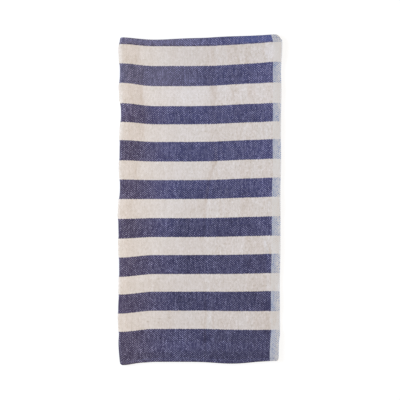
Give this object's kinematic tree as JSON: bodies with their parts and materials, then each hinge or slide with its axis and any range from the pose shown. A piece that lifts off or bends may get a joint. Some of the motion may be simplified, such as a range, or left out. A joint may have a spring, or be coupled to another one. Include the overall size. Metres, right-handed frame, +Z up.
{
  "type": "washcloth",
  "caption": "Square cotton washcloth with woven cross stripes, turned hems and pale selvedges, folded once lengthwise and lying flat.",
  "frame": {"origin": "middle of the footprint, on the surface that the cloth lies on", "axes": "+Y along the warp towards the head end, +X from the fold towards the selvedges, +Z up, away from the surface"},
  "size_m": [0.1545, 0.3101, 0.0076],
  "materials": {
    "striped_cotton": "matte"
  },
  "bodies": {
    "root": {"folded_cloth": "striped_cotton"}
  },
  "joints": []
}
